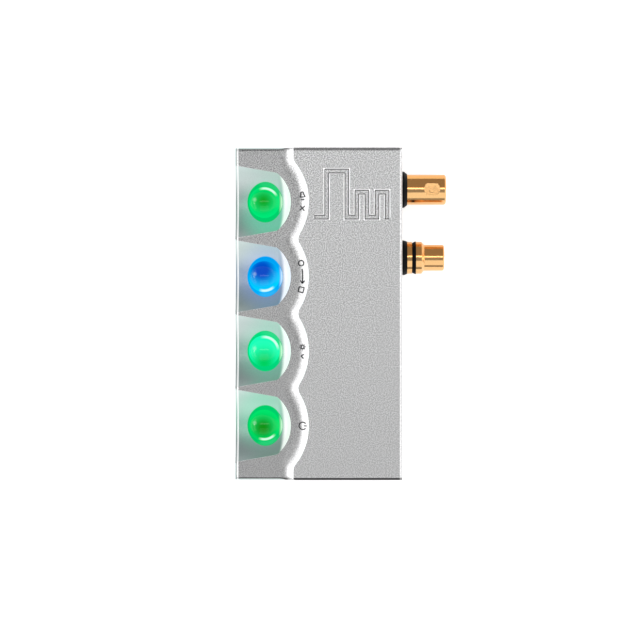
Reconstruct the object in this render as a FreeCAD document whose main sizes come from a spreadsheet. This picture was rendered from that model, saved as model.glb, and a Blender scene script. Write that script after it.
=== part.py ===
import FreeCAD, Part
import math
import os
import re
import Sketcher

# A pocket digital audio bridge: a milled aluminium case with four lit ball buttons in
# finger pockets, a BNC and a phono socket on the rear wall, and the board that they serve.
# Frame: X along the case, -Y at the buttons, +Y at the sockets, +Z up, and the origin under
# the middle of the whole thing, on the surface that its feet stand on. Millimetres.

V = FreeCAD.Vector
BUTTONS = ("mute", "output", "dim", "power")

DIMENSIONS = {
    # case
    "body_long": 104, "body_deep": 52.3, "body_tall": 22, "edge_bevel": 0.45,
    "side_wall": 2.5, "front_wall": 2, "rear_wall": 3, "roof_thick": 3, "low_ceiling": 11,
    "high_start": 25, "rebate_wide": 1.1, "fit_gap": 0.1, "thread_gap": 0.05,
    # wave between the raised plane and the button ledge
    "ledge_drop": 3, "wave_radius": 19.6, "wave_in": 3.5, "wave_end_in": 18.3,
    "cusp_radius": 3, "cove_wide": 4.6,
    # finger pockets
    "pitch": 23.4, "mouth_half": 11.4, "mouth_drop": 5.6, "crease_half": 9.1,
    "crease_drop": 4.47, "crease_in": 13,
    # ball buttons
    "ball_in": 9, "ball_radius": 5.25, "ball_gap": 0.05, "lip_radius": 4.9,
    "rim_radius": 5.4, "sink_slope": 0.48, "bore_gap": 0.1, "neck_rise": 0.9,
    "cup_radius": 5.3, "cup_tall": 3.2, "flange_radius": 6, "flange_tall": 1.1,
    "cup_lift": 1, "guide_gap": 0.06, "switch_side": 3.4, "switch_tall": 0.5,
    "stem_radius": 0.8, "stem_tall": 0.52, "lamp_side": 1.6, "lamp_out": 3.6,
    # base, feet and board
    "foot_tall": 1, "foot_radius": 4, "foot_sink": 0.5, "base_thick": 1.5,
    "board_lift": 1.5, "board_thick": 1.2, "post_radius": 2.5, "screw_radius": 1,
    "head_radius": 1.9, "head_tall": 1.1, "socket_radius": 0.75, "socket_deep": 0.7,
    # rear sockets, heights from the board's top face
    "jack_rise": 6.8, "bnc_along": -39.2, "phono_along": -17.7, "light_along": 4.5,
    "usb_along": 28, "bnc_reach": 13.95, "bnc_radius": 4.82, "bnc_neck": 4.5,
    "bnc_mouth": 4.1, "bnc_floor": 5.2, "bnc_washer": 5.75, "bnc_washer_face": 4.95,
    "washer_thick": 1.75, "washer_bevel": 0.95, "bnc_core": 2.4, "lug_back": 4.4,
    "lug_radius": 1, "lug_span": 11, "spot_radius": 2.5, "spot_rise": 4.45,
    "phono_reach": 13.4, "phono_radius": 4.14, "phono_neck": 3.6, "phono_flange": 5.1,
    "phono_washer": 5.5, "phono_washer_face": 5.15, "phono_bore": 3.35, "phono_core": 2.1,
    "ring_start": 3.25, "ring_end": 4.5, "flange_end": 6.3, "shoulder_end": 7.15,
    "light_wide": 9.7, "light_tall": 9.8, "light_deep": 12.1, "light_recess": 0.4,
    "usb_wide": 13.1, "usb_tall": 5.7, "usb_deep": 13.9, "usb_rise": 0.3, "usb_sheet": 0.3,
    # dock sockets in the front wall
    "dock_wide": 7.5, "dock_tall": 2.45, "dock_deep": 5.4, "dock_rise": 0.1, "dock_sheet": 0.25,
    # engraved pulse sign
    "sign_in": 25.5, "sign_along": -30.2, "sign_step": 3.15, "sign_tall": 14.4,
    "sign_low": 7.8, "sign_band": 1.9, "sign_line": 0.5, "sign_deep": 0.25,
}

LAYOUT = {
    "front": "-(body_deep + bnc_reach) / 2",
    "rear": "front + body_deep",
    "top": "foot_tall + body_tall",
    "ledge": "top - ledge_drop",
    "high_ceiling": "top - roof_thick",
    "inner_half": "body_long / 2 - side_wall",
    "inner_front": "front + front_wall",
    "inner_rear": "rear - rear_wall",
    "base_top": "foot_tall + base_thick",
    "board_low": "base_top + board_lift",
    "board_top": "board_low + board_thick",
    "cove_arc": "(cove_wide ^ 2 + ledge_drop ^ 2) / (2 * ledge_drop)",
    "mouth_arc": "(mouth_half ^ 2 + mouth_drop ^ 2) / (2 * mouth_drop)",
    "crease_arc": "(crease_half ^ 2 + crease_drop ^ 2) / (2 * crease_drop)",
    "ball_y": "front + ball_in",
    "floor_at_ball": "ledge - mouth_drop + (mouth_drop - crease_drop) * ball_in / crease_in",
    "lip_z": "floor_at_ball - (rim_radius - lip_radius) / sink_slope",
    "ball_z": "lip_z - sqrt(ball_radius ^ 2 - (lip_radius - ball_gap) ^ 2)",
    "cup_low": "board_top + cup_lift",
    "carrier_low": "cup_low + flange_tall + fit_gap",
    "jack_z": "board_top + jack_rise",
}

doc = FreeCAD.newDocument("AudioBridge")
sheet = doc.addObject("Spreadsheet::Sheet", "Sheet")
layout = doc.addObject("App::VarSet", "Layout")
OWNERS = {**dict.fromkeys(DIMENSIONS, "Sheet."), **dict.fromkeys(LAYOUT, "Layout.")}
subparts = []


# ---- small helpers -------------------------------------------------------------------

def link(expression):
    # puts the owner's name before each dimension in an expression
    return re.sub(r"[a-z]\w*", lambda word: OWNERS.get(word[0], "") + word[0], str(expression))


def size(name):
    # today's value of a dimension, for code that builds a shape itself
    return float(sheet.get(name)) if name in DIMENSIONS else getattr(layout, name)


def fill_sheet():
    for row, (name, value) in enumerate(DIMENSIONS.items(), start=1):
        sheet.set("A%d" % row, name)
        sheet.set("B%d" % row, str(value))
        sheet.setAlias("B%d" % row, name)
    doc.recompute()
    for name, expression in LAYOUT.items():
        layout.addProperty("App::PropertyFloat", name, "Layout")
        layout.setExpression(name, link(expression))
    doc.recompute()


def bind(item, **sizes):
    for path, expression in sizes.items():
        item.setExpression(path, link(expression))
    return item


def place(item, x, y, z):
    for axis, expression in zip("xyz", (x, y, z)):
        item.setExpression(".Placement.Base." + axis, link(expression))
    return item


def turn(item, axis, degrees):
    item.Placement = FreeCAD.Placement(V(), FreeCAD.Rotation(axis, degrees))
    return item


def keep(item, label):
    item.Label = label
    subparts.append(item)
    return item


def box(name, x, y, z, length, width, height):
    item = doc.addObject("Part::Box", name)
    return place(bind(item, Length=length, Width=width, Height=height), x, y, z)


def block(name, x, y, z, length, width, height):
    # a box given by the middle of its underside
    return box(name, f"{x} - ({length}) / 2", f"{y} - ({width}) / 2", z, length, width, height)


def rod(name, x, y, z, radius, height, rearward=False):
    # a cylinder that rises from its foot, or runs rearward from its front end
    item = doc.addObject("Part::Cylinder", name)
    if rearward:
        turn(item, V(1, 0, 0), -90)
    return place(bind(item, Radius=radius, Height=height), x, y, z)


def cut(name, base, *tools):
    for count, tool in enumerate(tools):
        item = doc.addObject("Part::Cut", name if tool is tools[-1] else f"{name}_step{count}")
        item.Base = base
        item.Tool = tool
        base = item
    return base


def fuse(name, *pieces):
    item = doc.addObject("Part::MultiFuse", name)
    item.Shapes = list(pieces)
    return item


def group(name, pieces):
    item = doc.addObject("Part::Compound", name)
    item.Links = list(pieces)
    return item


# ---- sketches and turned bodies ------------------------------------------------------

def sketch(body, role, height="0"):
    # a sketch on one of the body's own origin planes, raised along that plane's normal
    plane = next(item for item in body.Origin.OriginFeatures if item.Role == role)
    drawn = body.newObject("Sketcher::SketchObject", body.Name + "_sketch")
    drawn.AttachmentSupport = (plane, "")
    drawn.MapMode = "FlatFace"
    drawn.setExpression(".AttachmentOffset.Base.z", link(height))
    return drawn


def pin_point(drawn, edge, point, across, along):
    spot = drawn.getPoint(edge, point)
    for kind, value, expression in (("DistanceX", spot.x, across), ("DistanceY", spot.y, along)):
        number = drawn.addConstraint(Sketcher.Constraint(kind, -1, 1, edge, point, value))
        drawn.setExpression("Constraints[%d]" % number, link(expression))


def polygon(drawn, points):
    count = len(points)
    first = drawn.GeometryCount
    rough = [V(math.cos(2 * math.pi * k / count), math.sin(2 * math.pi * k / count), 0)
             for k in range(count)]
    for k in range(count):
        drawn.addGeometry(Part.LineSegment(rough[k], rough[(k + 1) % count]), False)
    for k in range(count):
        follower = first + (k + 1) % count
        drawn.addConstraint(Sketcher.Constraint("Coincident", first + k, 2, follower, 1))
    for k, (across, along) in enumerate(points):
        pin_point(drawn, first + k, 1, across, along)


def rectangle(drawn, low_x, low_y, high_x, high_y):
    polygon(drawn, [(low_x, low_y), (high_x, low_y), (high_x, high_y), (low_x, high_y)])


def circle(drawn, x, y, radius):
    edge = drawn.addGeometry(Part.Circle(V(1, 1, 0), V(0, 0, 1), 1), False)
    pin_point(drawn, edge, 3, x, y)
    number = drawn.addConstraint(Sketcher.Constraint("Radius", edge, 1))
    drawn.setExpression("Constraints[%d]" % number, link(radius))


def new_body(name):
    return doc.addObject("PartDesign::Body", name)


def pad(body, drawn, length):
    made = body.newObject("PartDesign::Pad", body.Name + "_pad")
    made.Profile = drawn
    return bind(made, Length=length)


def pocket(body, drawn, depth, reverse=False):
    made = body.newObject("PartDesign::Pocket", body.Name + "_pocket")
    made.Profile = drawn
    made.Reversed = reverse
    return bind(made, Length=depth)


def turned(name, x, y, z, outline, upright=False):
    # a body turned about the Y line through (x, z), or about an upright line through (x, y)
    body = new_body(name)
    drawn = sketch(body, "XZ_Plane" if upright else "XY_Plane")
    polygon(drawn, outline)
    spun = body.newObject("PartDesign::Revolution", name + "_turning")
    spun.Profile = drawn
    spun.ReferenceAxis = (drawn, ["V_Axis"])
    spun.Angle = 360
    return place(body, x, y, z)


def along(number):
    # the x of a button, numbered from 0 at the mute end
    return f"({number} - 1.5) * pitch"


# ---- case ----------------------------------------------------------------------------

FULL_POSTS = (("-28.2", "12.8"), ("45.8", "12.4"), ("-46.3", "-28"), ("46.3", "-28"))
BOARD_POSTS = (("-46", "-2"), ("15.4", "12"), ("-23.4", "-14.8"), ("23.4", "-14.8"))
CARRIER_SCREWS = (("-23.4", "-20"), ("0", "-20"), ("23.4", "-20"))
DOCK_SOCKETS = {"data": "-pitch", "charge": "0"}


def hollow(body, depth, posts, front="inner_front"):
    # cuts the inside out from below, leaving the screw posts standing
    drawn = sketch(body, "XY_Plane")
    rectangle(drawn, "-inner_half", front, "inner_half", "inner_rear")
    for x, y in posts:
        circle(drawn, x, y, "post_radius")
    pocket(body, drawn, depth, reverse=True)


def case_block():
    body = new_body("case_block")
    outline = sketch(body, "XY_Plane", "foot_tall")
    rectangle(outline, "-body_long / 2", "front", "body_long / 2", "rear")
    pad(body, outline, "body_tall")
    rebate = sketch(body, "XY_Plane")
    rectangle(rebate, "-inner_half - rebate_wide", "inner_front - rebate_wide",
              "inner_half + rebate_wide", "inner_rear + rebate_wide")
    pocket(body, rebate, "base_top", reverse=True)
    hollow(body, "board_top", FULL_POSTS)
    hollow(body, "low_ceiling", FULL_POSTS + BOARD_POSTS)
    rear_posts = FULL_POSTS[:2] + BOARD_POSTS[:2]
    hollow(body, "high_ceiling", rear_posts, front="front + high_start")
    threads = sketch(body, "XY_Plane")
    for x, y in FULL_POSTS + BOARD_POSTS:
        circle(threads, x, y, "screw_radius + thread_gap")
    pocket(body, threads, "low_ceiling - 1", reverse=True)
    carrier = sketch(body, "XY_Plane")
    for x, y in CARRIER_SCREWS:
        circle(carrier, x, y, "screw_radius + thread_gap")
    pocket(body, carrier, "low_ceiling + 2.4", reverse=True)
    rear_holes(body)
    front_holes(body)
    return body


def rear_holes(body):
    drawn = sketch(body, "XZ_Plane")
    circle(drawn, "bnc_along", "jack_z", "bnc_neck + thread_gap")
    circle(drawn, "phono_along", "jack_z", "phono_neck + thread_gap")
    rectangle(drawn, "light_along - light_wide / 2 - fit_gap", "board_top - fit_gap",
              "light_along + light_wide / 2 + fit_gap", "board_top + light_tall + fit_gap")
    rectangle(drawn, "usb_along - usb_wide / 2 - 2 * fit_gap", "board_top + usb_rise - 2 * fit_gap",
              "usb_along + usb_wide / 2 + 2 * fit_gap",
              "board_top + usb_rise + usb_tall + 2 * fit_gap")
    pocket(body, drawn, "rear + 1")


def front_holes(body):
    drawn = sketch(body, "XZ_Plane")
    for x in DOCK_SOCKETS.values():
        rectangle(drawn, f"{x} - dock_wide / 2 - 2 * fit_gap", "board_top + dock_rise - fit_gap",
                  f"{x} + dock_wide / 2 + 2 * fit_gap",
                  "board_top + dock_rise + dock_tall + 2 * fit_gap")
    pocket(body, drawn, "1 - front", reverse=True)


def wave_edges(step):
    # the wave line in plan, moved by step towards the buttons: arcs about the balls, joined
    # by small arcs at the cusps, with a straight run out at each end
    half = size("body_long") / 2 + 1
    radius = size("wave_radius") - step
    small = size("cusp_radius") + step
    reach = size("wave_radius") + size("cusp_radius")
    balls = [V((k - 1.5) * size("pitch"), size("front") + size("wave_in"), 0) for k in range(4)]
    run_y = size("front") + size("wave_end_in")
    end_y = run_y + size("cusp_radius")
    end_out = math.sqrt(reach ** 2 - (end_y - balls[0].y) ** 2)
    cusp_y = balls[0].y + math.sqrt(reach ** 2 - (size("pitch") / 2) ** 2)
    cusps = [V(balls[0].x - end_out, end_y, 0)]
    cusps += [V((a.x + b.x) / 2, cusp_y, 0) for a, b in zip(balls, balls[1:])]
    cusps += [V(balls[-1].x + end_out, end_y, 0)]
    here = V(cusps[0].x, run_y - step, 0)
    edges = [Part.LineSegment(V(-half, run_y - step, 0), here).toShape()]
    for ball, before, after in zip(balls, cusps, cusps[1:]):
        meet = ball + (before - ball).normalize() * radius
        edges.append(cusp_arc(before, here, meet, small))
        here = ball + (after - ball).normalize() * radius
        edges.append(Part.Arc(meet, ball + V(0, radius, 0), here).toShape())
    last = V(cusps[-1].x, run_y - step, 0)
    edges.append(cusp_arc(cusps[-1], here, last, small))
    edges.append(Part.LineSegment(last, V(half, run_y - step, 0)).toShape())
    return edges


def cusp_arc(centre, start, finish, radius):
    middle = ((start - centre) + (finish - centre)).normalize() * radius
    return Part.Arc(start, centre + middle, finish).toShape()


def ledge_cutter():
    # everything above the button ledge, out to just inside the foot of the cove
    edges = wave_edges(size("cove_wide") + 0.5)
    left = edges[0].Vertexes[0].Point
    right = edges[-1].Vertexes[-1].Point
    low = size("front") - 1
    corners = [right, V(right.x, low, 0), V(left.x, low, 0), left]
    edges += [Part.LineSegment(a, b).toShape() for a, b in zip(corners, corners[1:])]
    solid = Part.Face(Part.Wire(edges)).extrude(V(0, 0, size("ledge_drop") + 1))
    item = doc.addObject("Part::Feature", "ledge_cutter")
    item.Shape = solid
    return place(item, 0, 0, "ledge")


def cove_cutter():
    # a hollow round of one section, carried along the wave: tangent to the ledge at its
    # foot and meeting the raised plane in a sharp edge
    wide, drop, arc = size("cove_wide"), size("ledge_drop"), size("cove_arc")
    spine = Part.Wire(wave_edges(0))
    start = spine.OrderedVertexes[0].Point
    spot = lambda out, rise: V(start.x, start.y - out, rise)
    half_turn = math.asin(wide / arc) / 2
    middle = spot(wide - arc * math.sin(half_turn), arc - arc * math.cos(half_turn))
    corners = [spot(wide, 0), spot(wide + 1, 0), spot(wide + 1, drop + 1),
               spot(0, drop + 1), spot(0, drop)]
    edges = [Part.Arc(spot(0, drop), middle, spot(wide, 0)).toShape()]
    edges += [Part.LineSegment(a, b).toShape() for a, b in zip(corners, corners[1:])]
    sweep = Part.BRepOffsetAPI.MakePipeShell(spine)
    sweep.setBiNormalMode(V(0, 0, 1))
    sweep.add(Part.Wire(edges))
    sweep.build()
    sweep.makeSolid()
    item = doc.addObject("Part::Feature", "cove_cutter")
    item.Shape = sweep.shape()
    return place(item, 0, 0, "ledge")


def section_circle(name, x, y, drop, radius):
    item = turn(doc.addObject("Part::Circle", name), V(1, 0, 0), 90)
    return place(bind(item, Radius=radius), x, y, f"ledge - {drop} + {radius}")


def finger_pocket(number):
    # a tapering trough open at the front, a rounded end, and the ball's bore and countersink
    x, word = along(number), BUTTONS[number]
    before = "(1 + (mouth_half - crease_half) / mouth_half / crease_in)"
    sections = [section_circle(word + "_mouth", x, "front - 1", f"mouth_drop * {before}",
                               f"mouth_arc * {before}"),
                section_circle(word + "_crease", x, "front + crease_in", "crease_drop",
                               "crease_arc")]
    trough = doc.addObject("Part::Loft", word + "_trough")
    trough.Sections = sections
    trough.Solid = True
    trough.Ruled = True
    end = new_body(word + "_pocket_end")
    segment(sketch(end, "XZ_Plane"), "crease_half", "crease_arc")
    spun = end.newObject("PartDesign::Revolution", word + "_end_turning")
    spun.Profile = end.Group[0]
    spun.ReferenceAxis = (end.Group[0], ["H_Axis"])
    spun.Angle = 360
    place(end, x, "front + crease_in", "ledge")
    bore = turned(word + "_bore", x, "ball_y", 0, [
        ("0", "low_ceiling - 1"), ("ball_radius + bore_gap", "low_ceiling - 1"),
        ("ball_radius + bore_gap", "ball_z + neck_rise"), ("lip_radius", "lip_z"),
        ("lip_radius + (ledge - lip_z) * sink_slope", "ledge"), ("0", "ledge")], upright=True)
    return trough, end, bore


def segment(drawn, half, radius):
    # a slice of a disc that hangs below its straight side, which lies on the H axis
    hang, arc = size("crease_drop"), size("crease_arc")
    side = drawn.addGeometry(Part.LineSegment(V(-9, 0, 0), V(9, 0, 0)), False)
    spread = math.asin(size("crease_half") / arc)
    round_side = drawn.addGeometry(Part.ArcOfCircle(
        Part.Circle(V(0, arc - hang, 0), V(0, 0, 1), arc),
        -math.pi / 2 - spread, -math.pi / 2 + spread), False)
    drawn.addConstraint(Sketcher.Constraint("Coincident", side, 1, round_side, 1))
    drawn.addConstraint(Sketcher.Constraint("Coincident", side, 2, round_side, 2))
    pin_point(drawn, side, 1, f"-{half}", "0")
    pin_point(drawn, side, 2, half, "0")
    number = drawn.addConstraint(Sketcher.Constraint("Radius", round_side, arc))
    drawn.setExpression("Constraints[%d]" % number, link(radius))


def sign_cutter():
    # a shallow outline of a square pulse train, a general sign for a digital signal:
    # one tall pulse, two low ones
    step, band = size("sign_step"), size("sign_band")
    tall, low = size("sign_tall"), size("sign_low")
    x0, y0 = size("sign_along"), size("front") + size("sign_in")
    rises = [0, tall, 0, low, 0, low]
    widths = [1, 2, 1, 1, 1, 1]
    points, run = [V(x0, y0, 0)], 0
    for rise, wide in zip(rises, widths):
        points += [V(x0 - rise, y0 + run * step, 0), V(x0 - rise, y0 + (run + wide) * step, 0)]
        run += wide
    points = points[1:] + [V(x0, y0 + run * step, 0)]
    wire = Part.makePolygon(points)
    band_face = wire.makeOffset2D(band / 2, join=2, openResult=False, fill=True)
    inner = band_face.makeOffset2D(-size("sign_line"), join=2, fill=False)
    groove = band_face.cut(Part.Face(inner.Wires)).extrude(V(0, 0, size("sign_deep") + 1))
    item = doc.addObject("Part::Feature", "sign_cutter")
    item.Shape = groove
    return place(item, 0, 0, "top - sign_deep")


def outer_edges(shape):
    # the edges where the top faces meet the four outer walls
    half = size("body_long") / 2
    planes = (("x", -half), ("x", half), ("y", size("front")), ("y", size("rear")))
    found = []
    for number, edge in enumerate(shape.Edges, start=1):
        ends = [edge.valueAt(edge.FirstParameter), edge.valueAt(edge.LastParameter)]
        middle = edge.valueAt((edge.FirstParameter + edge.LastParameter) / 2)
        points = ends + [middle]
        upright = abs(ends[0].x - ends[1].x) + abs(ends[0].y - ends[1].y) < 1e-4
        high = min(point.z for point in points) > size("low_ceiling") + 1
        for axis, value in planes:
            flat = all(abs(getattr(point, axis) - value) < 1e-4 for point in points)
            if flat and high and not upright and number not in found:
                found.append(number)
    return found


def case_shell():
    tools = [ledge_cutter(), cove_cutter()]
    for number in range(4):
        tools += finger_pocket(number)
    carved = cut("case_carved", case_block(), *tools)
    doc.recompute()
    bevel = doc.addObject("Part::Chamfer", "case_bevelled")
    bevel.Base = carved
    width = size("edge_bevel")
    bevel.Edges = [(number, width, width) for number in outer_edges(carved.Shape)]
    keep(cut("case_shell", bevel, sign_cutter()), "case_shell")


# ---- base, feet and fasteners --------------------------------------------------------

FEET = (("-37", "-26.2"), ("37", "-26.2"), ("-37", "11.2"), ("37", "11.2"))


def base_plate():
    body = new_body("base_plate_blank")
    outline = sketch(body, "XY_Plane", "foot_tall")
    rectangle(outline, "-inner_half - rebate_wide + fit_gap",
              "inner_front - rebate_wide + fit_gap",
              "inner_half + rebate_wide - fit_gap", "inner_rear + rebate_wide - fit_gap")
    for x, y in FULL_POSTS:
        circle(outline, x, y, "screw_radius + 2 * thread_gap")
    pad(body, outline, "base_thick")
    seats = sketch(body, "XY_Plane", "foot_tall")
    for x, y in FEET:
        circle(seats, x, y, "foot_radius + thread_gap")
    pocket(body, seats, "foot_sink", reverse=True)
    sinks = [turned("base_sink_%d" % k, x, y, "foot_tall", [
        ("0", "-1"), ("head_radius + 1 + thread_gap", "-1"),
        ("screw_radius", "head_radius - screw_radius + thread_gap"),
        ("0", "head_radius - screw_radius + thread_gap")], upright=True)
        for k, (x, y) in enumerate(FULL_POSTS)]
    keep(cut("base_plate_sunk", body, *sinks), "base_plate")


def foot(number, x, y):
    keep(turned("foot_%d" % number, x, y, 0, [
        ("0", "0"), ("foot_radius - 0.4", "0"), ("foot_radius", "0.4"),
        ("foot_radius", "foot_tall + foot_sink"), ("0", "foot_tall + foot_sink")],
        upright=True), "rubber_foot_%d" % number)


def hex_socket(name, x, y, z):
    item = bind(doc.addObject("Part::Prism", name), Circumradius="socket_radius",
                Height="socket_deep + 0.1")
    return place(item, x, y, z)


def flush_screw(name, x, y):
    shank = turned(name + "_turned", x, y, "foot_tall", [
        ("0", "0"), ("head_radius", "0"), ("screw_radius", "head_radius - screw_radius"),
        ("screw_radius", "low_ceiling - foot_tall - 1.5"),
        ("0", "low_ceiling - foot_tall - 1.5")], upright=True)
    return cut(name, shank, hex_socket(name + "_hex", x, y, "foot_tall - 0.1"))


def pan_screw(name, x, y, seat, reach):
    # a round head under seat, and a shank that rises reach above it
    head = rod(name + "_head", x, y, f"{seat} - head_tall", "head_radius", "head_tall")
    shank = rod(name + "_shank", x, y, seat, "screw_radius", reach)
    socket = hex_socket(name + "_hex", x, y, f"{seat} - head_tall - 0.1")
    return cut(name, fuse(name + "_blank", head, shank), socket)


def fasteners():
    keep(group("base_screws", [flush_screw("base_screw_%d" % k, x, y)
                               for k, (x, y) in enumerate(FULL_POSTS)]), "base_screws")
    keep(group("board_screws", [pan_screw("board_screw_%d" % k, x, y, "board_low", "5")
                                for k, (x, y) in enumerate(BOARD_POSTS)]), "board_screws")
    keep(group("carrier_screws", [pan_screw("carrier_screw_%d" % k, x, y, "carrier_low", "5.5")
                                  for k, (x, y) in enumerate(CARRIER_SCREWS)]),
         "carrier_screws")


# ---- ball buttons --------------------------------------------------------------------

def carrier():
    # a black guide plate under the pockets, in which the four light cups slide
    body = new_body("button_carrier_plate")
    outline = sketch(body, "XY_Plane", "carrier_low")
    rectangle(outline, "-inner_half + 6.1", "inner_front + 2 * fit_gap",
              "inner_half - 6.1", "-17.3")
    for number in range(4):
        circle(outline, along(number), "ball_y", "cup_radius + guide_gap")
    for x, y in CARRIER_SCREWS:
        circle(outline, x, y, "screw_radius + 2 * thread_gap")
    pad(body, outline, "low_ceiling - carrier_low")
    notches = [block("carrier_notch_" + word, x, "front + dock_deep / 2", "carrier_low - 0.1",
                     "dock_wide + 1", "dock_deep + 1", "0.8")
               for word, x in DOCK_SOCKETS.items()]
    keep(cut("button_carrier", body, *notches), "button_carrier")


def ball_button(number):
    x, word = along(number), BUTTONS[number]
    ball = place(bind(doc.addObject("Part::Sphere", word + "_ball"), Radius="ball_radius"),
                 x, "ball_y", "ball_z")
    keep(ball, word + "_ball")
    cup = rod(word + "_cup_wall", x, "ball_y", "cup_low", "cup_radius", "cup_tall")
    flange = rod(word + "_cup_flange", x, "ball_y", "cup_low", "flange_radius", "flange_tall")
    seat = bind(doc.addObject("Part::Sphere", word + "_seat"), Radius="ball_radius + ball_gap")
    place(seat, x, "ball_y", "ball_z")
    blank = fuse(word + "_cup_blank", cup, flange)
    keep(cut(word + "_light_cup", blank, seat), word + "_light_cup")
    keep(rod(word + "_stem", x, "ball_y", "cup_low - stem_tall", "stem_radius", "stem_tall"),
         word + "_switch_stem")


def key_switches():
    switches = []
    for number, word in enumerate(BUTTONS):
        x = along(number)
        side = "switch_side"
        shell = block(word + "_switch_block", x, "ball_y", "board_top", side, side,
                      "switch_tall")
        well = rod(word + "_switch_well", x, "ball_y", "board_top + 0.05",
                   "stem_radius + 0.15", "switch_tall")
        switches.append(cut(word + "_switch", shell, well))
    keep(group("key_switches", switches), "key_switches")


def button_lamps():
    lamps = []
    for number, word in enumerate(BUTTONS):
        for side in (-1, 1):
            x = f"{along(number)} + {side} * lamp_out"
            lamps.append(block(f"{word}_lamp_{side + 1}", x, "ball_y", "board_top",
                               "lamp_side", "lamp_side", "switch_tall"))
    keep(group("button_lamps", lamps), "button_lamps")


# ---- board and what is soldered to it ------------------------------------------------

def main_board():
    body = new_body("main_board")
    outline = sketch(body, "XY_Plane", "board_low")
    rectangle(outline, "-inner_half + 3 * fit_gap", "inner_front + 3 * fit_gap",
              "inner_half - 3 * fit_gap", "inner_rear - 3 * fit_gap")
    for x, y in FULL_POSTS:
        circle(outline, x, y, "post_radius + 3 * fit_gap")
    for x, y in BOARD_POSTS:
        circle(outline, x, y, "screw_radius + fit_gap")
    pad(body, outline, "board_thick")
    keep(body, "main_board")


def board_blocks(label, blocks):
    # flat packages on the board, each given as x, y, length, width and height
    pieces = [block(f"{label}_{k}", *row[:2], "board_top", *row[2:])
              for k, row in enumerate(blocks)]
    keep(group(label, pieces) if len(pieces) > 1 else pieces[0], label)


def board_parts():
    board_blocks("audio_processor", [("5", "-4", "9", "9", "1.1")])
    board_blocks("power_chips", [("30", "-4", "5", "5", "0.9"), ("-8", "-8", "4", "4", "0.9"),
                                 ("-30", "-8", "4", "5", "0.9")])
    board_blocks("clock_crystals", [("-6", "0", "5", "3.2", "1.2"),
                                    ("14.5", "-1", "5", "3.2", "1.2")])
    board_blocks("pulse_transformers", [("-37.2", "1.5", "7", "6.4", "4.2"),
                                        ("-17.5", "0", "7", "6.4", "4.2")])
    chips = [(f"{x}", f"{y}", "1.6", "0.8", "0.8")
             for x in (-27, -24, 11.5, 14.5, 20, 24, 34, 37) for y in (-10.5, -8.5)]
    board_blocks("ceramic_capacitors", chips)
    cans = [rod("can_%d" % k, x, "-3", "board_top", "2.1", "5.4")
            for k, x in enumerate(("37", "42.4", "-27.5"))]
    keep(group("electrolytic_capacitors", cans), "electrolytic_capacitors")


# ---- rear sockets --------------------------------------------------------------------

def washer(label, x, radius, face, hole):
    keep(turned(label, x, "rear", "jack_z", [
        (hole, "0"), (radius, "0"), (radius, "washer_thick - washer_bevel"),
        (face, "washer_thick"), (hole, "washer_thick")]), label)


def hex_nut(label, x, across, hole):
    # flats up and down, tight against the inside of the rear wall
    prism = bind(doc.addObject("Part::Prism", label + "_prism"),
                 Circumradius=f"{across} / 3 ^ 0.5", Height="2.4")
    place(turn(prism, V(1, 0, 0), -90), x, "inner_rear - 2.4", "jack_z")
    bore = rod(label + "_bore", x, "inner_rear - 3", "jack_z", hole, "4", rearward=True)
    keep(cut(label, prism, bore), label)


def bnc_socket():
    x = "bnc_along"
    sleeve = turned("bnc_sleeve", x, "rear", "jack_z", [
        ("bnc_core", "-8"), ("bnc_neck", "-8"), ("bnc_neck", "washer_thick"),
        ("bnc_radius", "washer_thick"), ("bnc_radius", "bnc_reach - 0.4"),
        ("bnc_radius - 0.4", "bnc_reach"), ("bnc_mouth + 0.2", "bnc_reach"),
        ("bnc_mouth", "bnc_reach - 0.2"), ("bnc_mouth", "bnc_floor"),
        ("bnc_core", "bnc_floor")])
    lug_y = "rear + bnc_reach - lug_back"
    spots = [rod("bnc_spot_%d" % k, x, lug_y, z, "spot_radius", "2")
             for k, z in enumerate(("jack_z - spot_rise - 2", "jack_z + spot_rise"))]
    lugs = [rod("bnc_lug_%d" % k, x, lug_y, z, "lug_radius", "lug_span / 2 - bnc_mouth - 0.2")
            for k, z in enumerate(("jack_z - lug_span / 2", "jack_z + bnc_mouth + 0.2"))]
    keep(fuse("bnc_shell", cut("bnc_spotted", sleeve, *spots), *lugs), "bnc_barrel")
    washer("bnc_washer", x, "bnc_washer", "bnc_washer_face", "bnc_neck")
    hex_nut("bnc_nut", x, "12", "bnc_neck")
    keep(turned("bnc_insulator", x, "rear", "jack_z", [
        ("1.1", "-8"), ("bnc_core", "-8"), ("bnc_core", "bnc_reach - 3.1"),
        ("bnc_core - 0.4", "bnc_reach - 2.7"), ("1.1", "bnc_reach - 2.7")]), "bnc_insulator")
    pin = turned("bnc_pin", x, "rear", "jack_z", [
        ("0", "-9.5"), ("1.1", "-9.5"), ("1.1", "bnc_reach - 3"),
        ("0.7", "bnc_reach - 2.8"), ("0.7", "bnc_floor"), ("0", "bnc_floor")])
    lead = rod("bnc_lead", x, "rear - 9", "board_top", "0.4", "jack_rise")
    keep(fuse("bnc_contact", pin, lead), "bnc_contact")


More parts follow.
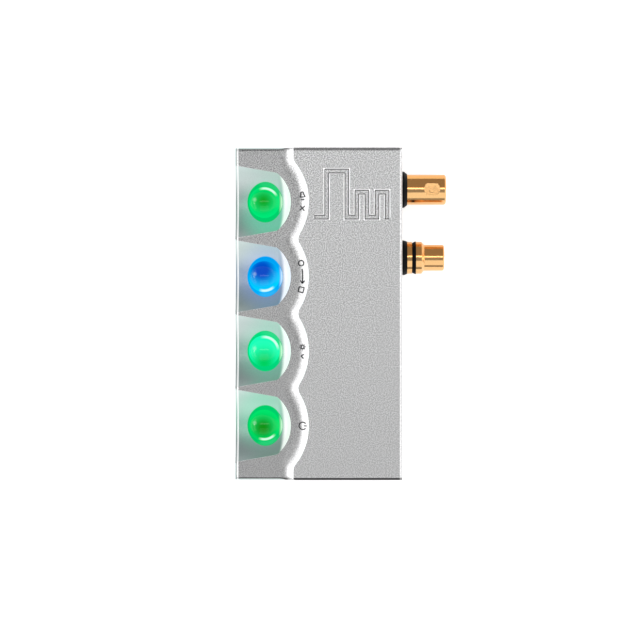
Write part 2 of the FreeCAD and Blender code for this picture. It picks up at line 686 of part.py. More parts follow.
def phono_socket():
    x = "phono_along"
    keep(turned("phono_barrel", x, "rear", "jack_z", [
        ("1.9", "-8"), ("phono_neck", "-8"), ("phono_neck", "washer_thick"),
        ("phono_flange", "washer_thick"), ("phono_flange", "ring_start"),
        ("phono_neck + 0.6", "ring_start"), ("phono_neck + 0.6", "ring_end"),
        ("phono_flange", "ring_end"), ("phono_flange", "flange_end"),
        ("phono_radius", "shoulder_end"),
        ("phono_radius", "phono_reach - 0.35"), ("phono_radius - 0.35", "phono_reach"),
        ("phono_bore + 0.1", "phono_reach"), ("phono_bore", "phono_reach - 0.1"),
        ("phono_bore", "2"), ("1.9", "2")]), "phono_barrel")
    washer("phono_washer", x, "phono_washer", "phono_washer_face", "phono_neck")
    keep(turned("phono_ring", x, "rear", "jack_z", [
        ("phono_neck + 0.6", "ring_start"), ("phono_flange - 0.4", "ring_start"),
        ("phono_flange + 0.12", "ring_end - 0.1"), ("phono_flange + 0.05", "ring_end"),
        ("phono_neck + 0.6", "ring_end")]), "phono_colour_ring")
    hex_nut("phono_nut", x, "10", "phono_neck")
    keep(turned("phono_insulator", x, "rear", "jack_z", [
        ("0.6", "-8"), ("1.9", "-8"), ("1.9", "2"), ("phono_bore", "2"),
        ("phono_bore", "phono_reach - 0.3"), ("phono_core", "phono_reach - 0.3"),
        ("phono_core", "3"), ("0.6", "3")]), "phono_insulator")
    pin = turned("phono_pin", x, "rear", "jack_z", [
        ("0", "-9.5"), ("0.6", "-9.5"), ("0.6", "3"), ("phono_core", "3"),
        ("phono_core", "phono_reach - 0.9"), ("1.62", "phono_reach - 0.6"), ("1.62", "4"),
        ("0", "4")])
    lead = rod("phono_lead", x, "rear - 9", "board_top", "0.4", "jack_rise")
    keep(fuse("phono_contact", pin, lead), "phono_contact")


def light_socket():
    # optical output: a square housing whose mouth is closed by a sprung flap inside it
    mouth_y, x = "rear - light_recess", "light_along"
    low, deep = "board_top", "light_deep"
    shell = box("light_block", f"{x} - light_wide / 2", f"{mouth_y} - {deep}", low,
                "light_wide", deep, "light_tall")
    lip = box("light_mouth", f"{x} - 3.05", f"{mouth_y} - 1.2", f"{low} + 1.55", "6.1", "2", "6.05")
    room = box("light_room", f"{x} - 3.4", f"{mouth_y} - 9.3", f"{low} + 1.3", "6.8", "8.2", "7.95")
    eye = rod("light_eye", x, f"{mouth_y} - 11.4", f"{low} + 4.7", "1.5", "3", rearward=True)
    pin_z, pin_y = f"{low} + 8.4", f"{mouth_y} - 2"
    hole = turn(doc.addObject("Part::Cylinder", "flap_pin_hole"), V(0, 1, 0), 90)
    bind(hole, Radius="0.4", Height="8.2")
    place(hole, f"{x} - 4.1", pin_y, pin_z)
    keep(cut("optical_housing", shell, lip, room, eye, hole), "optical_housing")
    lens = rod("light_lens", x, f"{mouth_y} - 11.4", f"{low} + 4.7", "1.5", "2.6", rearward=True)
    keep(lens, "optical_emitter")
    pin = turn(doc.addObject("Part::Cylinder", "flap_pin"), V(0, 1, 0), 90)
    bind(pin, Radius="0.4", Height="8.2")
    keep(place(pin, f"{x} - 4.1", pin_y, pin_z), "shutter_pin")
    plate = box("flap_plate", f"{x} - 3.25", f"{pin_y} - 0.75", f"{low} + 1.4", "6.5", "0.7", "7")
    barrel = turn(doc.addObject("Part::Cylinder", "flap_barrel"), V(0, 1, 0), 90)
    bind(barrel, Radius="0.75", Height="6.5")
    place(barrel, f"{x} - 3.25", pin_y, pin_z)
    bore = turn(doc.addObject("Part::Cylinder", "flap_bore"), V(0, 1, 0), 90)
    bind(bore, Radius="0.45", Height="8")
    place(bore, f"{x} - 4", pin_y, pin_z)
    keep(cut("optical_shutter", fuse("flap_blank", plate, barrel), bore), "optical_shutter")


def usb_output():
    x, z = "usb_along", "board_top + usb_rise"
    front_y, sheet_t = "rear - usb_deep - fit_gap", "usb_sheet"
    outer = block("usb_outer", x, f"{front_y} + usb_deep / 2", z, "usb_wide", "usb_deep",
                  "usb_tall")
    inner = box("usb_inner", f"{x} - usb_wide / 2 + {sheet_t}", f"{front_y} + {sheet_t}",
                f"{z} + {sheet_t}", f"usb_wide - 2 * {sheet_t}", "usb_deep + 1",
                f"usb_tall - 2 * {sheet_t}")
    keep(cut("usb_output_shell", outer, inner), "usb_output_shell")
    root = block("usb_root", x, f"{front_y} + {sheet_t} + 1.5", f"{z} + {sheet_t}",
                 f"usb_wide - 2 * {sheet_t}", "3", f"usb_tall - 2 * {sheet_t}")
    tongue = block("usb_blade", x, f"{front_y} + {sheet_t} + 7.3", f"{z} + 3.1", "11.1", "8.7",
                   "1.8")
    keep(fuse("usb_output_tongue", root, tongue), "usb_output_tongue")
    strips = [block("usb_strip_%d" % k, f"{x} + ({k} - 1.5) * 2.3",
                    f"{front_y} + {sheet_t} + 7", f"{z} + 2.9", "1", "7.6", "0.2")
              for k in range(4)]
    keep(group("usb_output_contacts", strips), "usb_output_contacts")


def dock_outline(drawn, inset):
    # the socket's section: a flat top with its lower corners cut back
    wide, tall = f"(dock_wide / 2 - {inset})", f"(dock_tall - {inset})"
    polygon(drawn, [(f"-{wide}", tall), (f"-{wide}", "0.95"), (f"-{wide} + 0.9", inset),
                    (f"{wide} - 0.9", inset), (wide, "0.95"), (wide, tall)])


def dock_socket(word, x):
    # a small power or data inlet, flush with the front wall
    body = new_body(word + "_inlet_shell")
    drawn = sketch(body, "XZ_Plane")
    dock_outline(drawn, "0")
    made = pad(body, drawn, "dock_deep")
    made.Reversed = True
    hollow_sketch = sketch(body, "XZ_Plane")
    dock_outline(hollow_sketch, "dock_sheet")
    pocket(body, hollow_sketch, "dock_deep - dock_sheet")
    place(body, x, "front + fit_gap", "board_top + dock_rise")
    keep(body, word + "_inlet_shell")
    root = block(word + "_inlet_root", x, "front + fit_gap + dock_deep - 0.85",
                 "board_top + dock_rise + dock_sheet", "dock_wide - 2.4", "1.2", "1.9")
    blade = block(word + "_inlet_blade", x, "front + fit_gap + dock_deep - 2.9",
                  "board_top + dock_rise + 1.3", "3.7", "3.2", "0.6")
    keep(fuse(word + "_inlet_tongue", root, blade), word + "_inlet_tongue")


# ---- the whole device ----------------------------------------------------------------

def build():
    fill_sheet()
    case_shell()
    base_plate()
    for number, (x, y) in enumerate(FEET, start=1):
        foot(number, x, y)
    fasteners()
    carrier()
    for number in range(4):
        ball_button(number)
    key_switches()
    button_lamps()
    main_board()
    board_parts()
    bnc_socket()
    phono_socket()
    light_socket()
    usb_output()
    for word, x in DOCK_SOCKETS.items():
        dock_socket(word, x)
    doc.recompute()


def check():
    for item in doc.Objects:
        if {"Invalid", "Error"} & set(item.State):
            raise RuntimeError("%s failed: %s" % (item.Name, item.State))
    for item in subparts:
        if item.Shape.isNull() or not item.Shape.isValid():
            raise RuntimeError("%s has no sound shape" % item.Label)


def export():
    os.makedirs("parts", exist_ok=True)
    for item in subparts:
        item.Shape.exportStep("parts/%s.step" % item.Label)
        print("%-26s %2d solids %10.2f mm3" % (item.Label, len(item.Shape.Solids),
                                              item.Shape.Volume))


build()
check()
export()
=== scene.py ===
import bmesh
import bpy
import math
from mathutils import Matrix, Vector


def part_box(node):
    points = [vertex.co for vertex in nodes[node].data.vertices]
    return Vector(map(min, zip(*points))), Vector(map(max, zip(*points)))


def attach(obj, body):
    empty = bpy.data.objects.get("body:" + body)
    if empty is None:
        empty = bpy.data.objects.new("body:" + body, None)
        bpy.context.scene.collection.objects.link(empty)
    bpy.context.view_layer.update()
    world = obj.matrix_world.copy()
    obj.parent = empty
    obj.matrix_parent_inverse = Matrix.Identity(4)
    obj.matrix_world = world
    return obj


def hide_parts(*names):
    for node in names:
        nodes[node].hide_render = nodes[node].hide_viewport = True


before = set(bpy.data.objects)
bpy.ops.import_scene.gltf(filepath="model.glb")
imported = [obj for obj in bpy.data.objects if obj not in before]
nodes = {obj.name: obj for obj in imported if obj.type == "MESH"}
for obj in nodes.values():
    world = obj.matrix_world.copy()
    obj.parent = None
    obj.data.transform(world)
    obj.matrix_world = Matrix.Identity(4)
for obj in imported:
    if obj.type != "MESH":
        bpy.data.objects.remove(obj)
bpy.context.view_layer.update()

mm = 0.001
words = ("mute", "output", "dim", "power")
ballCentres = {word: sum(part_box(word + "_ball"), Vector()) / 2 for word in words}
caseLow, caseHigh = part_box("case_shell")
print("frame loaded")


# node sockets as Python values
class Wire:
    def __init__(self, graph, socket):
        self.graph, self.socket = graph, socket

    def math(self, operation, *others, swap=False):
        values = [self, *others]
        if swap:
            values.reverse()
        return self.graph.node("Math", list(enumerate(values)), operation=operation)

    def __add__(self, other):
        return self.math("ADD", other)

    def __radd__(self, other):
        return self.math("ADD", other, swap=True)

    def __sub__(self, other):
        return self.math("SUBTRACT", other)

    def __rsub__(self, other):
        return self.math("SUBTRACT", other, swap=True)

    def __mul__(self, other):
        return self.math("MULTIPLY", other)

    def __rmul__(self, other):
        return self.math("MULTIPLY", other, swap=True)

    def __pow__(self, other):
        return self.math("POWER", other)

    def __neg__(self):
        return self.math("MULTIPLY", -1)

    def step(self, low, high, start=0, end=1):
        # smooth change from start to end as the value goes from low to high
        return self.graph.node("MapRange", [("Value", self), ("From Min", low), ("From Max", high),
                                            ("To Min", start), ("To Max", end)],
                               interpolation_type="SMOOTHSTEP")

    def ramp(self, low, high, start=0, end=1):
        # the same change in a straight line
        return self.graph.node("MapRange", [("Value", self), ("From Min", low), ("From Max", high),
                                            ("To Min", start), ("To Max", end)])

    def blend(self, first, second):
        # the wire is the share of the second colour
        return self.graph.node("Mix", [(0, self), (6, first), (7, second)], 2, data_type="RGBA")


class Graph:
    def __init__(self, owner):
        # the owner is a new material or world
        owner.use_nodes = True
        self.owner, self.tree = owner, owner.node_tree
        self.tree.nodes.clear()

    def node(self, kind, inputs=(), output=0, **settings):
        made = self.tree.nodes.new("ShaderNode" + kind)
        for name, value in settings.items():
            setattr(made, name, value)
        for place, value in inputs:
            if isinstance(value, Wire):
                self.tree.links.new(value.socket, made.inputs[place])
            else:
                made.inputs[place].default_value = value
        return Wire(self, made.outputs[output] if made.outputs else None)

    def place(self):
        return self.node("TexCoord", output=3)

    def axes(self, point):
        made = self.node("SeparateXYZ", [(0, point)])
        return [Wire(self, made.socket.node.outputs[k]) for k in range(3)]

    def noise(self, point, scale, detail=2, roughness=0.5):
        return self.node("TexNoise", [("Vector", point), ("Scale", scale), ("Detail", detail),
                                      ("Roughness", roughness)])

    def vector(self, operation, *values):
        return self.node("VectorMath", list(enumerate(values)), operation=operation)

    def facing(self):
        return self.axes(self.node("NewGeometry", output=1))

    def bump(self, height, strength, distance):
        return self.node("Bump", [("Height", height), ("Strength", strength),
                                  ("Distance", distance)])

    def finish(self, **inputs):
        shader = self.node("BsdfPrincipled", [(name.replace("_", " "), value)
                                              for name, value in inputs.items()])
        self.node("OutputMaterial", [(0, shader)])
        return self.owner


def materialGraph(name):
    return Graph(bpy.data.materials.new(name))


def rgb(red, green, blue):
    return (red, green, blue, 1)


black, white = rgb(0, 0, 0), rgb(1, 1, 1)


def dress(material, *names):
    for name in names:
        data = nodes[name].data
        data.materials.clear()
        data.materials.append(material)


def surface(name, colour, rough, metal=0.0, grain=0.0, scale=3000, **extra):
    # a plain material with a little unevenness in tone and gloss
    graph = materialGraph(name)
    speck = graph.noise(graph.place(), scale, 3)
    tone = speck.ramp(0.3, 0.7).blend(rgb(*[c * (1 - grain) for c in colour]),
                                      rgb(*[min(1, c * (1 + grain)) for c in colour]))
    gloss = speck.ramp(0.3, 0.7, rough * 0.9, min(1, rough * 1.12))
    return graph.finish(Base_Color=tone, Roughness=gloss, Metallic=metal, **extra)


def newPiece(name, mesh, body, material, smoothAngle=None):
    obj = bpy.data.objects.new(name, mesh)
    bpy.context.scene.collection.objects.link(obj)
    mesh.materials.clear()
    mesh.materials.append(material)
    if smoothAngle is not None:
        mesh.shade_smooth()
        mesh.set_sharp_from_angle(angle=math.radians(smoothAngle))
    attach(obj, body)
    return obj


def meshFrom(shape, name, openUp=False):
    # an open sheet is turned to face up
    bmesh.ops.recalc_face_normals(shape, faces=shape.faces)
    if openUp:
        shape.normal_update()
        under = [face for face in shape.faces if face.normal.z < 0]
        bmesh.ops.reverse_faces(shape, faces=under)
    mesh = bpy.data.meshes.new(name)
    shape.to_mesh(mesh)
    shape.free()
    return mesh


caseLook = {
    "metal": rgb(0.77, 0.772, 0.775), "dark": rgb(0.31, 0.312, 0.315),
    "grainScale": 3000, "grainBand": (0.43, 0.57), "grainDepth": 0.00008, "grainGloss": (0.34, 0.46),
    # painted lighting: the grain keeps full contrast on top towards the head and less at the foot and on the
    # sides
    "grainFoot": 0.55, "grainSides": 0.35,              # share of the contrast left at the foot and on the sides
    # the ledge height, and how much painted shade darkens the ledge
    "ledge": 0.02, "ledgeShade": 0.26,
    "edgeRound": 0.0011, "edgeTilt": 1.6,               # the soft round at the outer edges
    # painted shade lines along the foot, head and left bevels, and painted highlight lines at the left and right
    # edges
    "footShade": 0.98, "headShade": 0.7, "leftShade": 0.5, "leftHighlight": 0.7, "rightHighlight": 0.3,
    # painted highlights on the cove and on the pockets' end walls
    "coveHighlight": 0.7, "wallHighlight": 0.8, "wallStart": 0.0135,
    # painted light and shade in the pockets, and the painted glow round the balls' countersinks
    "pitch": 0.0234, "pocketShadedBase": rgb(0.2, 0.2, 0.2), "pocketLit": rgb(0.43, 0.53, 0.51),
    "pocketShade": rgb(0.10, 0.15, 0.145), "pocketFade": (-0.0108, 0.0015),
    "glowReach": (0.0125, 0.004), "sinkSlope": 0.48, "sinkEdge": -0.00186,
    "sinkGlowBase": rgb(0.0, 0.12, 0.05),
}
# painted glow of each button's light on its pocket and countersink ring
glowLook = {
    "mute": {"pocket": rgb(0.05, 0.72, 0.42), "ring": rgb(0.0, 0.50, 0.13), "share": 0.5,
             "lean": (0.003, 0.0015)},
    "output": {"pocket": rgb(0.12, 0.32, 0.95), "ring": rgb(0.0, 0.33, 0.86), "share": 0.3,
               "lean": (0.0, 0.0)},
    "dim": {"pocket": rgb(0.05, 0.72, 0.42), "ring": rgb(0.0, 0.56, 0.18), "share": 0.36,
            "lean": (0.0, 0.001)},
    "power": {"pocket": rgb(0.04, 0.72, 0.38), "ring": rgb(0.0, 0.50, 0.13), "share": 0.42,
              "lean": (-0.003, -0.001)},
}


def edgeTilt(value, low, high):
    # how far the surface leans outwards near two opposite edges
    band = caseLook["edgeRound"]
    rise = value.ramp(high - band, high, 0, caseLook["edgeTilt"])
    fall = value.ramp(low, low + band, caseLook["edgeTilt"], 0)
    return rise - fall


def fromPoint(x, y, atX, atY):
    return ((x - atX) ** 2 + (y - atY) ** 2) ** 0.5


def caseGrainAndShade(x, z, up, fine, edges):
    # blasted grain, its contrast painted stronger on top and towards the head as the light falls, then painted
    # shade: a darker ledge and dark lines along the bevels
    look = caseLook
    # painted lighting: grain contrast falls towards the foot and on the sides
    contrast = x.ramp(caseLow.x, caseHigh.x, 1, look["grainFoot"])
    contrast = contrast * up.step(0.1, 0.6, look["grainSides"], 1)
    speck = (fine.ramp(*look["grainBand"]) - 0.5) * contrast + 0.5
    tone = speck.blend(look["dark"], look["metal"])
    low = z.step(look["ledge"] + 0.0006, look["ledge"] + 0.0001)
    # painted shade: a darker ledge and dark lines along the foot, head and left bevels
    for share in (low * look["ledgeShade"],
                  edges["foot"].step(0.0008, 0.0006) * edges["flat"] * look["footShade"],
                  edges["head"].step(0.00065, 0.00045) * edges["head"].step(0.00005, 0.0002)
                  * edges["flat"] * look["headShade"],
                  edges["left"].step(0.0006, 0.0004) * edges["flat"] * look["leftShade"]):
        tone = share.blend(tone, black)
    return tone


def paintedCoveLight(x, y, z, up):
    # painted highlight: the cove is painted as lit from the buttons' side, most at its sharp upper edge
    inside = (x.math("ABSOLUTE").step(0.0517, 0.0514)
              * y.step(caseLow.y + 0.0008, caseLow.y + 0.0012)
              * y.step(caseHigh.y - 0.0008, caseHigh.y - 0.0012))
    cove = up.ramp(0.995, 0.6) * z.step(caseLook["ledge"] - 0.0001, caseLook["ledge"]) * inside
    return (cove * caseLook["coveHighlight"]).blend(black, white)


def pocketLook(x, y, z, tone, glow, pocket):
    # painted light and shade: the pockets fade from painted light to painted shade across on a darker base, and
    # take a painted glow in the colour of their ball, strongest on the countersink ring
    look = caseLook
    across = (x + look["pitch"] * 2).math("MODULO", look["pitch"]) - look["pitch"] / 2
    light = across.step(*look["pocketFade"]).blend(look["pocketLit"], look["pocketShade"])
    tone = (pocket * 0.9).blend(tone, look["pocketShadedBase"])
    glow = pocket.blend(glow, light)
    for word in words:
        centre, lit = ballCentres[word], glowLook[word]
        spread = fromPoint(x, y, centre.x + lit["lean"][0], centre.y + lit["lean"][1])
        soft = spread.step(*look["glowReach"]) * pocket
        ring = (fromPoint(x, y, centre.x, centre.y) - z * look["sinkSlope"]).step(
            look["sinkEdge"] + 0.0002, look["sinkEdge"])
        glow = ring.blend((soft * lit["share"]).blend(glow, lit["pocket"]), lit["ring"])
        tone = ring.blend(tone, look["sinkGlowBase"])
    return tone, glow


def caseMaterial():
    graph = materialGraph("case_aluminium")
    point = graph.place()
    x, y, z = graph.axes(point)
    faceY, up = graph.facing()[1:]
    fine = graph.noise(point, caseLook["grainScale"], 3, 0.6)
    edges = {"flat": up.step(0.5, 0.65), "foot": caseHigh.x - x, "head": x - caseLow.x,
             "left": y - caseLow.y, "right": caseHigh.y - y}
    ledge, wall = caseLook["ledge"], caseLow.y + caseLook["wallStart"]
    # where the pockets' painted light, shade and glow go
    pocket = z.step(ledge - 0.00001, ledge - 0.0001) * up.step(0.1, 0.25)
    tone, glow = pocketLook(x, y, z, caseGrainAndShade(x, z, up, fine, edges), paintedCoveLight(x, y, z, up), pocket)
    # painted highlight on the pockets' end walls
    paintedEndWall = (-faceY).step(0.3, 0.7) * pocket * y.step(wall, wall + 0.0015)
    glow = (paintedEndWall * caseLook["wallHighlight"]).blend(glow, white)
    # painted highlight lines along the left and right edges
    leftEdgeHighlight = edges["left"].step(0.0005, 0.00065) * edges["left"].step(0.0011, 0.0009)
    rightEdgeHighlight = edges["right"].step(0.00095, 0.0007)
    shine = leftEdgeHighlight * caseLook["leftHighlight"] + rightEdgeHighlight * caseLook["rightHighlight"]
    glow = (shine * edges["flat"]).blend(glow, white)
    lean = graph.node("CombineXYZ", [
        (0, edgeTilt(x, caseLow.x, caseHigh.x) * edges["flat"]),
        (1, edgeTilt(y, caseLow.y, caseHigh.y) * edges["flat"]), (2, 0.0)])
    bumped = graph.bump(fine, 0.5, caseLook["grainDepth"])
    normal = graph.vector("NORMALIZE", graph.vector("ADD", bumped, lean))
    return graph.finish(Base_Color=tone, Metallic=1.0, Normal=normal,
                        Roughness=fine.ramp(0.3, 0.7, *caseLook["grainGloss"]),
                        Emission_Color=glow, Emission_Strength=1.0)


dress(caseMaterial(), "case_shell")
print("case made")


# painted glow of each ball: core and rim colours, where the core sits, how far it reaches and where the painted
# highlight arc runs
ballLook = {
    "mute": {"core": rgb(0.0, 0.30, 0.010), "rim": rgb(0.0, 0.72, 0.18), "shift": (-0.4, -0.2),
             "reach": (0.0, 5.2), "shine": -1.2, "sweep": 0.8, "cup": rgb(0.0, 0.5, 0.1)},
    "output": {"core": rgb(0.0, 0.055, 0.45), "rim": rgb(0.0, 0.62, 0.98), "shift": (-2.2, -0.7),
               "reach": (1.4, 6.8), "shine": 1.36, "sweep": 0.62, "cup": rgb(0.0, 0.25, 0.8)},
    "dim": {"core": rgb(0.0, 0.48, 0.09), "rim": rgb(0.01, 0.90, 0.46), "shift": (3.8, 0.0),
            "reach": (0.0, 7.0), "shine": -0.95, "sweep": 0.95, "cup": rgb(0.0, 0.6, 0.2)},
    "power": {"core": rgb(0.0, 0.23, 0.002), "rim": rgb(0.0, 0.70, 0.14), "shift": (0.7, -0.3),
              "reach": (0.4, 5.4), "shine": 1.33, "sweep": 0.7, "cup": rgb(0.0, 0.4, 0.08)},
}
arcHighlightLook = {"radius": 0.0044, "wide": (0.00055, 0.00015), "share": 0.85,
           "spot": (-0.0008, -0.003), "spotHighlightShare": 0.22, "colour": rgb(0.8, 1.0, 0.93)}
lowest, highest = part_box("mute_ball")
ballRadius = (highest.z - lowest.z) / 2


def ballMesh(name, centre):
    shape = bmesh.new()
    bmesh.ops.create_uvsphere(shape, u_segments=96, v_segments=48, radius=ballRadius)
    bmesh.ops.translate(shape, verts=shape.verts, vec=centre)
    return meshFrom(shape, name)


def ballMaterial(word):
    # clear resin with painted light: a painted glow, darkest over the switch and strongest at the rim, with a
    # thin painted highlight arc and a small painted highlight spot; it goes by where the surface faces, so it
    # stays put as the ball rolls
    graph = materialGraph(word + "_ball_resin")
    look = ballLook[word]
    x, y, z = [face * ballRadius for face in graph.facing()]
    core = fromPoint(x, y, look["shift"][0] * mm, look["shift"][1] * mm)
    glow = core.step(*[r * mm for r in look["reach"]]).blend(look["core"], look["rim"])
    turned = (x.math("ARCTAN2", y) - look["shine"]).math("ABSOLUTE")
    sweep = turned.step(look["sweep"], look["sweep"] * 0.45)
    # painted highlight: a thin arc near the rim and a small spot
    rim = (fromPoint(x, y, 0, 0) - arcHighlightLook["radius"]).math("ABSOLUTE").step(*arcHighlightLook["wide"])
    spot = fromPoint(x, y, *arcHighlightLook["spot"]).step(0.0009, 0.0002)
    share = rim * sweep * arcHighlightLook["share"] + spot * arcHighlightLook["spotHighlightShare"]
    glow = z.step(0, 0.0008).blend(black, share.blend(glow, arcHighlightLook["colour"]))
    tint = rgb(*[c * 0.3 for c in look["core"][:3]])
    return graph.finish(Base_Color=tint, Roughness=0.08, IOR=1.49, Specular_IOR_Level=0.15,
                        Transmission_Weight=0.15, Emission_Color=glow, Emission_Strength=1.0)


def cupMaterial(word):
    # painted glow of the button's light in the cup, dark in its middle
    graph = materialGraph(word + "_cup_light")
    x, y, z = graph.axes(graph.place())
    centre = ballCentres[word]
    away = fromPoint(x, y, centre.x, centre.y)
    colour = away.step(0.0002, 0.0011).blend(rgb(0, 0.01, 0), ballLook[word]["cup"])
    return graph.finish(Base_Color=rgb(0.2, 0.25, 0.22), Roughness=0.4,
                        Emission_Color=colour, Emission_Strength=0.25)


for word in words:
    ball = newPiece(word + "_ball_clear", ballMesh(word + "_ball_clear", ballCentres[word]),
                    word + "_ball", ballMaterial(word), 60)
    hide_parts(word + "_ball")
    dress(cupMaterial(word), word + "_light_cup")
print("balls made")


# gold colours: deeper on the side towards the head as a painted reflection, with a little random wear
goldReflectionAndWear = {"head": rgb(0.76, 0.37, 0.12), "foot": rgb(0.80, 0.48, 0.21), "wear": 0.05}


def goldMaterial():
    # polished plate with a painted reflection: deeper in colour on the side towards the head of the case
    graph = materialGraph("socket_gold")
    wear = graph.noise(graph.place(), 900, 3).ramp(0.3, 0.7, -1, 1)
    turned = graph.facing()[0]
    share = turned.step(-0.12, 0.05) + wear * goldReflectionAndWear["wear"]
    return graph.finish(Base_Color=share.blend(goldReflectionAndWear["head"], goldReflectionAndWear["foot"]),
                        Roughness=wear.ramp(-1, 1, 0.11, 0.16), Metallic=1.0)


dress(goldMaterial(), "bnc_barrel", "phono_barrel")
dress(surface("washer_black", (0.006, 0.006, 0.007), 0.5, Specular_IOR_Level=0.08),
      "bnc_washer", "phono_washer", "phono_colour_ring")
print("sockets made")


# colour, roughness, metallic, unevenness and the pieces that have the finish
plain = {
    "base_aluminium": ((0.42, 0.42, 0.43), 0.42, 1.0, 0.06, ["base_plate"]),
    "foot_rubber": ((0.02, 0.02, 0.02), 0.8, 0.0, 0.2, ["rubber_foot_%d" % k for k in range(1, 5)]),
    "screw_steel": ((0.09, 0.09, 0.1), 0.35, 1.0, 0.1,
                    ["base_screws", "board_screws", "carrier_screws", "shutter_pin"]),
    "carrier_black": ((0.015, 0.015, 0.016), 0.55, 0.0, 0.1, ["button_carrier", "key_switches"]),
    "stem_black": ((0.03, 0.03, 0.03), 0.5, 0.0, 0.1, [w + "_switch_stem" for w in words]),
    "lamp_white": ((0.85, 0.86, 0.8), 0.3, 0.0, 0.03, ["button_lamps"]),
    "board_green": ((0.01, 0.09, 0.03), 0.4, 0.0, 0.15, ["main_board"]),
    "chip_black": ((0.02, 0.02, 0.022), 0.5, 0.0, 0.1,
                   ["audio_processor", "power_chips", "pulse_transformers"]),
    "can_metal": ((0.7, 0.7, 0.7), 0.25, 1.0, 0.04, ["clock_crystals", "electrolytic_capacitors"]),
    "capacitor_tan": ((0.35, 0.22, 0.12), 0.35, 0.0, 0.1, ["ceramic_capacitors"]),
    "nut_nickel": ((0.62, 0.6, 0.55), 0.22, 1.0, 0.04, ["bnc_nut", "phono_nut"]),
    "insulator_white": ((0.82, 0.81, 0.78), 0.45, 0.0, 0.02, ["bnc_insulator", "phono_insulator"]),
    "contact_gold": ((0.86, 0.55, 0.24), 0.2, 1.0, 0.03,
                     ["bnc_contact", "phono_contact", "usb_output_contacts"]),
    "optical_black": ((0.02, 0.02, 0.02), 0.45, 0.0, 0.1,
                      ["optical_housing", "optical_shutter", "usb_output_tongue",
                       "data_inlet_tongue", "charge_inlet_tongue"]),
    "emitter_red": ((0.5, 0.02, 0.015), 0.15, 0.0, 0.05, ["optical_emitter"]),
    "usb_steel": ((0.6, 0.6, 0.6), 0.28, 1.0, 0.05,
                  ["usb_output_shell", "data_inlet_shell", "charge_inlet_shell"]),
}
for name, (colour, rough, metal, grain, members) in plain.items():
    dress(surface(name, colour, rough, metal, grain), *members)
print("inner pieces dressed")


# the pictograms on the cove, in millimetres along and across it
legend = {"radius": 19.6, "centreIn": 3.5, "out": 1.9, "coveWide": 4.6, "coveArc": 5.03,
          "stroke": 0.33, "lift": 0.14, "ledge": 20.0}


def drawOut(shape, edge, before, ends):
    # extrudes the edge that lies between the two points before, and moves the new one to ends
    made = bmesh.ops.extrude_edge_only(shape, edges=[edge])["geom"]
    fresh = sorted((item for item in made if isinstance(item, bmesh.types.BMVert)),
                   key=lambda vert: (vert.co - before[0]).length)
    for vert, end in zip(fresh, ends):
        vert.co = end
    return next(item for item in made if isinstance(item, bmesh.types.BMEdge)
                and item.verts[0] in fresh and item.verts[1] in fresh)


def stroke(shape, points, wide, spot):
    # a ribbon drawn out along the points and laid on the cove
    edge, last = None, None
    for k, (u, v) in enumerate(points):
        before, after = points[max(k - 1, 0)], points[min(k + 1, len(points) - 1)]
        run = Vector((after[0] - before[0], after[1] - before[1])).normalized()
        aside = Vector((-run.y, run.x)) * wide / 2
        ends = [spot(u + s * aside.x, v + s * aside.y) for s in (-1, 1)]
        if edge:
            edge = drawOut(shape, edge, last, ends)
        else:
            edge = shape.edges.new([shape.verts.new(end) for end in ends])
        last = ends


def fill(points, step=0.12):
    # the same path with points no further apart than the step
    full = [points[0]]
    for (u0, v0), (u1, v1) in zip(points, points[1:]):
        count = max(1, math.ceil(math.hypot(u1 - u0, v1 - v0) / step))
        full += [(u0 + (u1 - u0) * k / count, v0 + (v1 - v0) * k / count)
                 for k in range(1, count + 1)]
    return full


def arc(u, v, radius, start, end, count=24):
    angles = [math.radians(start + (end - start) * k / count) for k in range(count + 1)]
    return [(u + radius * math.cos(a), v + radius * math.sin(a)) for a in angles]


signs = {
    "mute": [[(-3.0, -0.4), (-3.0, 0.4), (-2.4, 0.4), (-1.5, 0.85), (-1.5, -0.85), (-2.4, -0.4),
              (-3.0, -0.4)],
             arc(-1.4, 0, 0.8, -40, 40), [(1.3, -0.75), (2.8, 0.75)], [(1.3, 0.75), (2.8, -0.75)]],
    "output": [arc(-4.2, 0, 0.85, 0, 360), [(-2.4, 0), (2.2, 0)], [(1.3, 0.7), (2.2, 0), (1.3, -0.7)],
               [(3.4, -0.8), (3.4, 0.8), (5.0, 0.8), (5.0, -0.8), (3.4, -0.8)]],
    "dim": [arc(-1.3, 0, 0.5, 0, 360), [(0.9, 0.4), (1.6, -0.4), (2.3, 0.4)]] +
           [[(-1.3 + math.cos(a) * r, math.sin(a) * r) for r in (0.75, 1.0)]
            for a in (k * math.pi / 4 for k in range(8))],
    "power": [arc(0, 0, 1.15, 125, 415, 36), [(0, 0.35), (0, 1.4)]],
}


def legendPiece(word):
    centre = Vector((ballCentres[word].x / mm, caseLow.y / mm + legend["centreIn"]))
    middle = legend["radius"] - legend["out"]

    def spot(u, v):
        away = middle + v
        rise = legend["coveWide"] - (legend["radius"] - away)
        drop = math.sqrt(legend["coveArc"] ** 2 - max(0, rise) ** 2)
        away -= legend["lift"] * rise / legend["coveArc"]
        high = legend["ledge"] + legend["coveArc"] - drop
        high += legend["lift"] * drop / legend["coveArc"]
        turn = u / middle
        return Vector((centre.x + away * math.sin(turn), centre.y + away * math.cos(turn),
                       high)) * mm

    shape = bmesh.new()
    for path in signs[word]:
        stroke(shape, fill(path), legend["stroke"], spot)
    return newPiece(word + "_legend", meshFrom(shape, word + "_legend", True), "case", inkBlack)


inkBlack = surface("legend_ink", (0.035, 0.035, 0.04), 0.9, Specular_IOR_Level=0.05)
for word in words:
    legendPiece(word)
print("legends made")


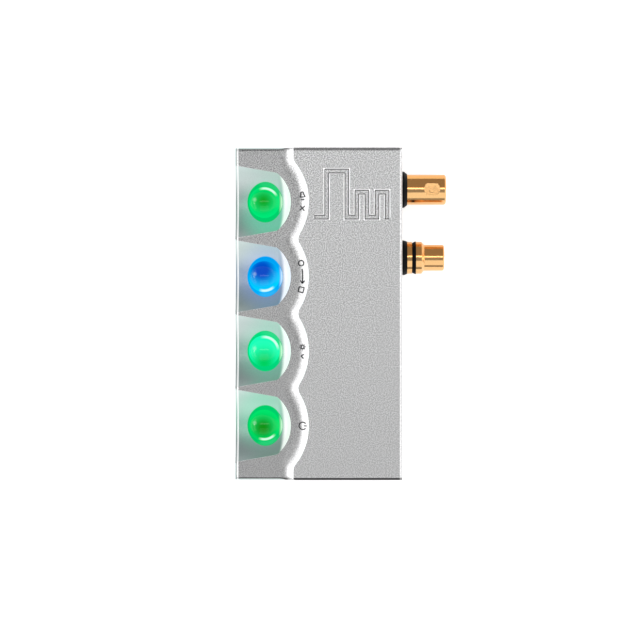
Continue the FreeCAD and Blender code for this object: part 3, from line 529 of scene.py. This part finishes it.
# the two slopes of the engraved line, in millimetres; the outer slope carries a painted highlight and the inner
# one painted shade
sign = {"x": -30.2, "y": -7.625, "step": 3.15, "rises": (0, 14.4, 0, 7.8, 0, 7.8),
        "widths": (1, 2, 1, 1, 1, 1), "outer": 0.95, "inner": 0.45, "deep": 0.24, "top": 23.0}


def signPath():
    points, run = [(sign["x"], sign["y"])], 0
    for rise, wide in zip(sign["rises"], sign["widths"]):
        points += [(sign["x"] - rise, sign["y"] + run * sign["step"]),
                   (sign["x"] - rise, sign["y"] + (run + wide) * sign["step"])]
        run += wide
    return points[1:] + [(sign["x"], sign["y"] + run * sign["step"])]


def loopAround(path, gap):
    # the closed line that runs at the gap on both sides of a path of square corners
    spots = [Vector(p) for p in path]
    runs = [(b - a).normalized() for a, b in zip(spots, spots[1:])]
    sides = [[], []]
    for k, spot in enumerate(spots):
        before, after = runs[max(k - 1, 0)], runs[min(k, len(runs) - 1)]
        shift = Vector((-before.y, before.x)) * gap
        if before != after:
            shift += Vector((-after.y, after.x)) * gap
        push = {0: -before, len(spots) - 1: after}.get(k, Vector((0, 0))) * gap
        sides[0].append(spot + shift + push)
        sides[1].append(spot - shift + push)
    return sides[0] + sides[1][::-1]


def signSlope(name, start, finish, material):
    # a slope between two closed lines, each given by its gap from the path and its depth
    shape = bmesh.new()
    for gap, low in (start, finish):
        ring = [shape.verts.new(Vector((p.x, p.y, sign["top"] - low)) * mm)
                for p in loopAround(signPath(), gap)]
        for pair in zip(ring, ring[1:] + ring[:1]):
            shape.edges.new(pair)
    bmesh.ops.bridge_loops(shape, edges=shape.edges)
    return newPiece(name, meshFrom(shape, name, True), "case", material)


middleGap = (sign["outer"] + sign["inner"]) / 2
# painted highlight on the outer slope and painted shade on the inner slope
signSlope("sign_outer_slope", (sign["outer"], 0.01), (middleGap, sign["deep"]),
          surface("sign_painted_highlight", (0.95, 0.95, 0.95), 0.35, 1.0, 0.02,
                  Emission_Color=white, Emission_Strength=0.6))
signSlope("sign_inner_slope", (middleGap, sign["deep"]), (sign["inner"], 0.01),
          surface("sign_painted_shade", (0.07, 0.07, 0.072), 0.5, 1.0, 0.05))
print("sign made")


def softbox(name, centre, wide, high, glow):
    # a light panel aimed at the middle of the case
    light = bpy.data.lights.new(name, "AREA")
    light.shape, light.size, light.size_y = "RECTANGLE", wide, high
    light.energy = glow * math.pi * wide * high
    obj = bpy.data.objects.new(name, light)
    bpy.context.scene.collection.objects.link(obj)
    obj.location = centre
    obj.rotation_euler = (-Vector(centre)).to_track_quat("-Z", "Y").to_euler()


def floorPlane():
    shape = bmesh.new()
    bmesh.ops.create_grid(shape, x_segments=1, y_segments=1, size=3)
    mesh = meshFrom(shape, "floor")
    obj = bpy.data.objects.new("floor", mesh)
    bpy.context.scene.collection.objects.link(obj)
    mesh.materials.append(surface("floor_paper", (0.93, 0.93, 0.93), 0.9, 0.0, 0.0, 30,
                                  Emission_Color=white, Emission_Strength=0.6))


def roomLight():
    world = bpy.data.worlds.new("room")
    bpy.context.scene.world = world
    graph = Graph(world)
    shader = graph.node("Background", [("Color", rgb(0.39, 0.39, 0.39))])
    graph.node("OutputWorld", [(0, shader)])


floorPlane()
roomLight()
softbox("left_box", (0, -0.95, 0.30), 1.3, 0.30, 1.7)
softbox("left_spot", (0.02, -0.9, 0.26), 0.12, 0.10, 14)
softbox("right_box", (0, 0.95, 0.30), 1.1, 0.4, 2.4)
softbox("low_box", (0.9, 0, 0.9), 1.4, 1.1, 0.85)
softbox("top_box", (-0.26, 0, 1.6), 2.0, 0.26, 2.9)

camera = bpy.data.objects.new("camera", bpy.data.cameras.new("camera"))
bpy.context.scene.collection.objects.link(camera)
camera.location = (0.00195, -0.006555, 1.023)
camera.rotation_euler = (0, 0, math.radians(90))
camera.data.lens = 180
camera.data.sensor_width = 36
camera.data.clip_start, camera.data.clip_end = 0.01, 20
bpy.context.scene.camera = camera
bpy.context.scene.view_settings.view_transform = "Standard"
print("stage set")
